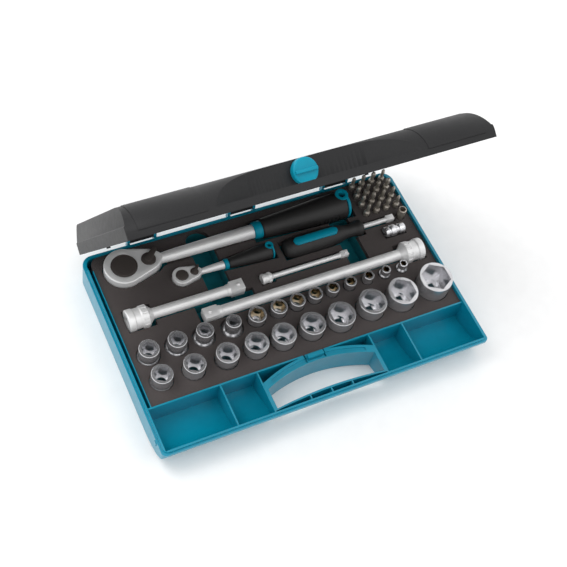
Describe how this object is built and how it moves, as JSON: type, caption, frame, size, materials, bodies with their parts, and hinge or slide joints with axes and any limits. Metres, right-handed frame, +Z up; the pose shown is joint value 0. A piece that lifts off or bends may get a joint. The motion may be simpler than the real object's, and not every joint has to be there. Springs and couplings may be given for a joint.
{
  "type": "socket wrench set in case",
  "caption": "Moulded case with a hinged lid and carrying handle, holding ratchets, extensions, a driver, hex sockets and bits in a foam insert.",
  "frame": {"origin": "centre of the case base's underside", "axes": "+X to the case's right end, +Y to the hinge, +Z up"},
  "size_m": [0.3596, 0.253, 0.2334],
  "materials": {
    "case_base": "satin moulded",
    "case_lid": "fine textured",
    "latch_knob": "satin",
    "hinge_pin_left": "bright",
    "hinge_pin_centre": "bright",
    "hinge_pin_right": "bright",
    "foam_insert": "closed-cell foam, dark over teal",
    "ratchet_half_body": "satin chrome",
    "ratchet_half_drive": "dark",
    "ratchet_half_lever": "dark",
    "ratchet_half_collar": "satin",
    "ratchet_half_grip": "matt",
    "ratchet_half_cap": "satin",
    "ratchet_quarter_body": "satin chrome",
    "ratchet_quarter_drive": "dark",
    "ratchet_quarter_lever": "dark",
    "ratchet_quarter_collar": "satin",
    "ratchet_quarter_grip": "matt",
    "ratchet_quarter_cap": "satin",
    "driver_grip": "matt",
    "driver_inlay": "matt",
    "driver_shaft": "polished",
    "extension_half_125": "polished",
    "extension_half_250": "polished",
    "extension_quarter": "polished",
    "adaptor": "polished",
    "bit_holder": "polished",
    "socket_half_13": "polished",
    "socket_half_12": "polished",
    "socket_half_11": "polished",
    "socket_half_10": "polished",
    "socket_half_14": "polished",
    "socket_half_15": "polished",
    "socket_half_16": "polished",
    "socket_half_17": "polished",
    "socket_half_18": "polished",
    "socket_half_19": "polished",
    "socket_half_21": "polished",
    "socket_half_22": "polished",
    "socket_half_24": "polished",
    "socket_half_27": "polished",
    "socket_quarter_13": "polished",
    "socket_quarter_12": "polished",
    "socket_quarter_11": "polished",
    "socket_quarter_10": "polished",
    "socket_quarter_9": "polished",
    "socket_quarter_8": "polished",
    "socket_quarter_7": "polished",
    "socket_quarter_6": "polished",
    "socket_quarter_5.5": "polished",
    "bit_01": "dark",
    "bit_02": "dark",
    "bit_03": "dark",
    "bit_04": "dark",
    "bit_05": "dark",
    "bit_06": "dark",
    "bit_07": "dark",
    "bit_08": "dark"
  },
  "bodies": {
    "case": {"case_base": "case_base", "foam_insert": "foam_insert", "hinge_pin_left": "hinge_pin_left", "hinge_pin_centre": "hinge_pin_centre", "hinge_pin_right": "hinge_pin_right", "bit_holder": "bit_holder", "bit_01": "bit_01", "bit_02": "bit_02", "bit_03": "bit_03", "bit_04": "bit_04", "bit_05": "bit_05", "bit_06": "bit_06", "bit_07": "bit_07", "bit_08": "bit_08"},
    "lid": {"case_lid": "case_lid"},
    "knob": {"latch_knob": "latch_knob"},
    "ratchet_half": {"ratchet_half_body": "ratchet_half_body", "ratchet_half_collar": "ratchet_half_collar", "ratchet_half_grip": "ratchet_half_grip", "ratchet_half_cap": "ratchet_half_cap"},
    "ratchet_half_lever": {"ratchet_half_lever": "ratchet_half_lever"},
    "ratchet_half_drive": {"ratchet_half_drive": "ratchet_half_drive"},
    "ratchet_quarter": {"ratchet_quarter_body": "ratchet_quarter_body", "ratchet_quarter_collar": "ratchet_quarter_collar", "ratchet_quarter_grip": "ratchet_quarter_grip", "ratchet_quarter_cap": "ratchet_quarter_cap"},
    "ratchet_quarter_lever": {"ratchet_quarter_lever": "ratchet_quarter_lever"},
    "ratchet_quarter_drive": {"ratchet_quarter_drive": "ratchet_quarter_drive"},
    "driver": {"driver_grip": "driver_grip", "driver_inlay": "driver_inlay", "driver_shaft": "driver_shaft"},
    "extension_half_125": {"extension_half_125": "extension_half_125"},
    "extension_half_250": {"extension_half_250": "extension_half_250"},
    "extension_quarter": {"extension_quarter": "extension_quarter"},
    "adaptor": {"adaptor": "adaptor"},
    "socket_half_13": {"socket_half_13": "socket_half_13"},
    "socket_half_12": {"socket_half_12": "socket_half_12"},
    "socket_half_11": {"socket_half_11": "socket_half_11"},
    "socket_half_10": {"socket_half_10": "socket_half_10"},
    "socket_half_14": {"socket_half_14": "socket_half_14"},
    "socket_half_15": {"socket_half_15": "socket_half_15"},
    "socket_half_16": {"socket_half_16": "socket_half_16"},
    "socket_half_17": {"socket_half_17": "socket_half_17"},
    "socket_half_18": {"socket_half_18": "socket_half_18"},
    "socket_half_19": {"socket_half_19": "socket_half_19"},
    "socket_half_21": {"socket_half_21": "socket_half_21"},
    "socket_half_22": {"socket_half_22": "socket_half_22"},
    "socket_half_24": {"socket_half_24": "socket_half_24"},
    "socket_half_27": {"socket_half_27": "socket_half_27"},
    "socket_quarter_13": {"socket_quarter_13": "socket_quarter_13"},
    "socket_quarter_12": {"socket_quarter_12": "socket_quarter_12"},
    "socket_quarter_11": {"socket_quarter_11": "socket_quarter_11"},
    "socket_quarter_10": {"socket_quarter_10": "socket_quarter_10"},
    "socket_quarter_9": {"socket_quarter_9": "socket_quarter_9"},
    "socket_quarter_8": {"socket_quarter_8": "socket_quarter_8"},
    "socket_quarter_7": {"socket_quarter_7": "socket_quarter_7"},
    "socket_quarter_6": {"socket_quarter_6": "socket_quarter_6"},
    "socket_quarter_5.5": {"socket_quarter_5.5": "socket_quarter_5.5"}
  },
  "joints": [
    {"name": "lid_hinge", "type": "hinge", "parent": "case", "child": "lid", "pos_m": [0, 0.119, 0.032], "axis": [-1, 0, 0], "range_deg": [-58.6, 51.4]},
    {"name": "latch_turn", "type": "hinge", "parent": "lid", "child": "knob", "pos_m": [0, 0.02881, 0.21009], "axis": [0, -0.521, 0.8536], "range_deg": [0, 90]},
    {"name": "ratchet_half_lift", "type": "slide", "parent": "case", "child": "ratchet_half", "axis": [0, 0, 1], "range_m": [0, 0.045]},
    {"name": "ratchet_half_reverse", "type": "hinge", "parent": "ratchet_half", "child": "ratchet_half_lever", "pos_m": [-0.1153, 0.0885, 0.036], "axis": [0, 0, -1], "range_deg": [0, 84]},
    {"name": "ratchet_half_turn", "type": "hinge", "parent": "ratchet_half", "child": "ratchet_half_drive", "pos_m": [-0.1413, 0.0885, 0.026], "axis": [0, 0, -1], "continuous": true},
    {"name": "ratchet_quarter_lift", "type": "slide", "parent": "case", "child": "ratchet_quarter", "axis": [0, 0, 1], "range_m": [0, 0.045]},
    {"name": "ratchet_quarter_reverse", "type": "hinge", "parent": "ratchet_quarter", "child": "ratchet_quarter_lever", "pos_m": [-0.0762, 0.061, 0.033], "axis": [0, 0, -1], "range_deg": [0, 84]},
    {"name": "ratchet_quarter_turn", "type": "hinge", "parent": "ratchet_quarter", "child": "ratchet_quarter_drive", "pos_m": [-0.0896, 0.061, 0.023], "axis": [0, 0, -1], "continuous": true},
    {"name": "driver_lift", "type": "slide", "parent": "case", "child": "driver", "axis": [0, 0, 1], "range_m": [0, 0.045]},
    {"name": "extension_half_125_lift", "type": "slide", "parent": "case", "child": "extension_half_125", "axis": [0, 0, 1], "range_m": [0, 0.045]},
    {"name": "extension_half_250_lift", "type": "slide", "parent": "case", "child": "extension_half_250", "axis": [0, 0, 1], "range_m": [0, 0.045]},
    {"name": "extension_quarter_lift", "type": "slide", "parent": "case", "child": "extension_quarter", "axis": [0, 0, 1], "range_m": [0, 0.045]},
    {"name": "adaptor_lift", "type": "slide", "parent": "case", "child": "adaptor", "axis": [0, 0, 1], "range_m": [0, 0.045]},
    {"name": "socket_half_13_lift", "type": "slide", "parent": "case", "child": "socket_half_13", "axis": [0, 0, 1], "range_m": [0, 0.045]},
    {"name": "socket_half_12_lift", "type": "slide", "parent": "case", "child": "socket_half_12", "axis": [0, 0, 1], "range_m": [0, 0.045]},
    {"name": "socket_half_11_lift", "type": "slide", "parent": "case", "child": "socket_half_11", "axis": [0, 0, 1], "range_m": [0, 0.045]},
    {"name": "socket_half_10_lift", "type": "slide", "parent": "case", "child": "socket_half_10", "axis": [0, 0, 1], "range_m": [0, 0.045]},
    {"name": "socket_half_14_lift", "type": "slide", "parent": "case", "child": "socket_half_14", "axis": [0, 0, 1], "range_m": [0, 0.045]},
    {"name": "socket_half_15_lift", "type": "slide", "parent": "case", "child": "socket_half_15", "axis": [0, 0, 1], "range_m": [0, 0.045]},
    {"name": "socket_half_16_lift", "type": "slide", "parent": "case", "child": "socket_half_16", "axis": [0, 0, 1], "range_m": [0, 0.045]},
    {"name": "socket_half_17_lift", "type": "slide", "parent": "case", "child": "socket_half_17", "axis": [0, 0, 1], "range_m": [0, 0.045]},
    {"name": "socket_half_18_lift", "type": "slide", "parent": "case", "child": "socket_half_18", "axis": [0, 0, 1], "range_m": [0, 0.045]},
    {"name": "socket_half_19_lift", "type": "slide", "parent": "case", "child": "socket_half_19", "axis": [0, 0, 1], "range_m": [0, 0.045]},
    {"name": "socket_half_21_lift", "type": "slide", "parent": "case", "child": "socket_half_21", "axis": [0, 0, 1], "range_m": [0, 0.045]},
    {"name": "socket_half_22_lift", "type": "slide", "parent": "case", "child": "socket_half_22", "axis": [0, 0, 1], "range_m": [0, 0.045]},
    {"name": "socket_half_24_lift", "type": "slide", "parent": "case", "child": "socket_half_24", "axis": [0, 0, 1], "range_m": [0, 0.045]},
    {"name": "socket_half_27_lift", "type": "slide", "parent": "case", "child": "socket_half_27", "axis": [0, 0, 1], "range_m": [0, 0.045]},
    {"name": "socket_quarter_13_lift", "type": "slide", "parent": "case", "child": "socket_quarter_13", "axis": [0, 0, 1], "range_m": [0, 0.045]},
    {"name": "socket_quarter_12_lift", "type": "slide", "parent": "case", "child": "socket_quarter_12", "axis": [0, 0, 1], "range_m": [0, 0.045]},
    {"name": "socket_quarter_11_lift", "type": "slide", "parent": "case", "child": "socket_quarter_11", "axis": [0, 0, 1], "range_m": [0, 0.045]},
    {"name": "socket_quarter_10_lift", "type": "slide", "parent": "case", "child": "socket_quarter_10", "axis": [0, 0, 1], "range_m": [0, 0.045]},
    {"name": "socket_quarter_9_lift", "type": "slide", "parent": "case", "child": "socket_quarter_9", "axis": [0, 0, 1], "range_m": [0, 0.045]},
    {"name": "socket_quarter_8_lift", "type": "slide", "parent": "case", "child": "socket_quarter_8", "axis": [0, 0, 1], "range_m": [0, 0.045]},
    {"name": "socket_quarter_7_lift", "type": "slide", "parent": "case", "child": "socket_quarter_7", "axis": [0, 0, 1], "range_m": [0, 0.045]},
    {"name": "socket_quarter_6_lift", "type": "slide", "parent": "case", "child": "socket_quarter_6", "axis": [0, 0, 1], "range_m": [0, 0.045]},
    {"name": "socket_quarter_5.5_lift", "type": "slide", "parent": "case", "child": "socket_quarter_5.5", "axis": [0, 0, 1], "range_m": [0, 0.045]}
  ]
}
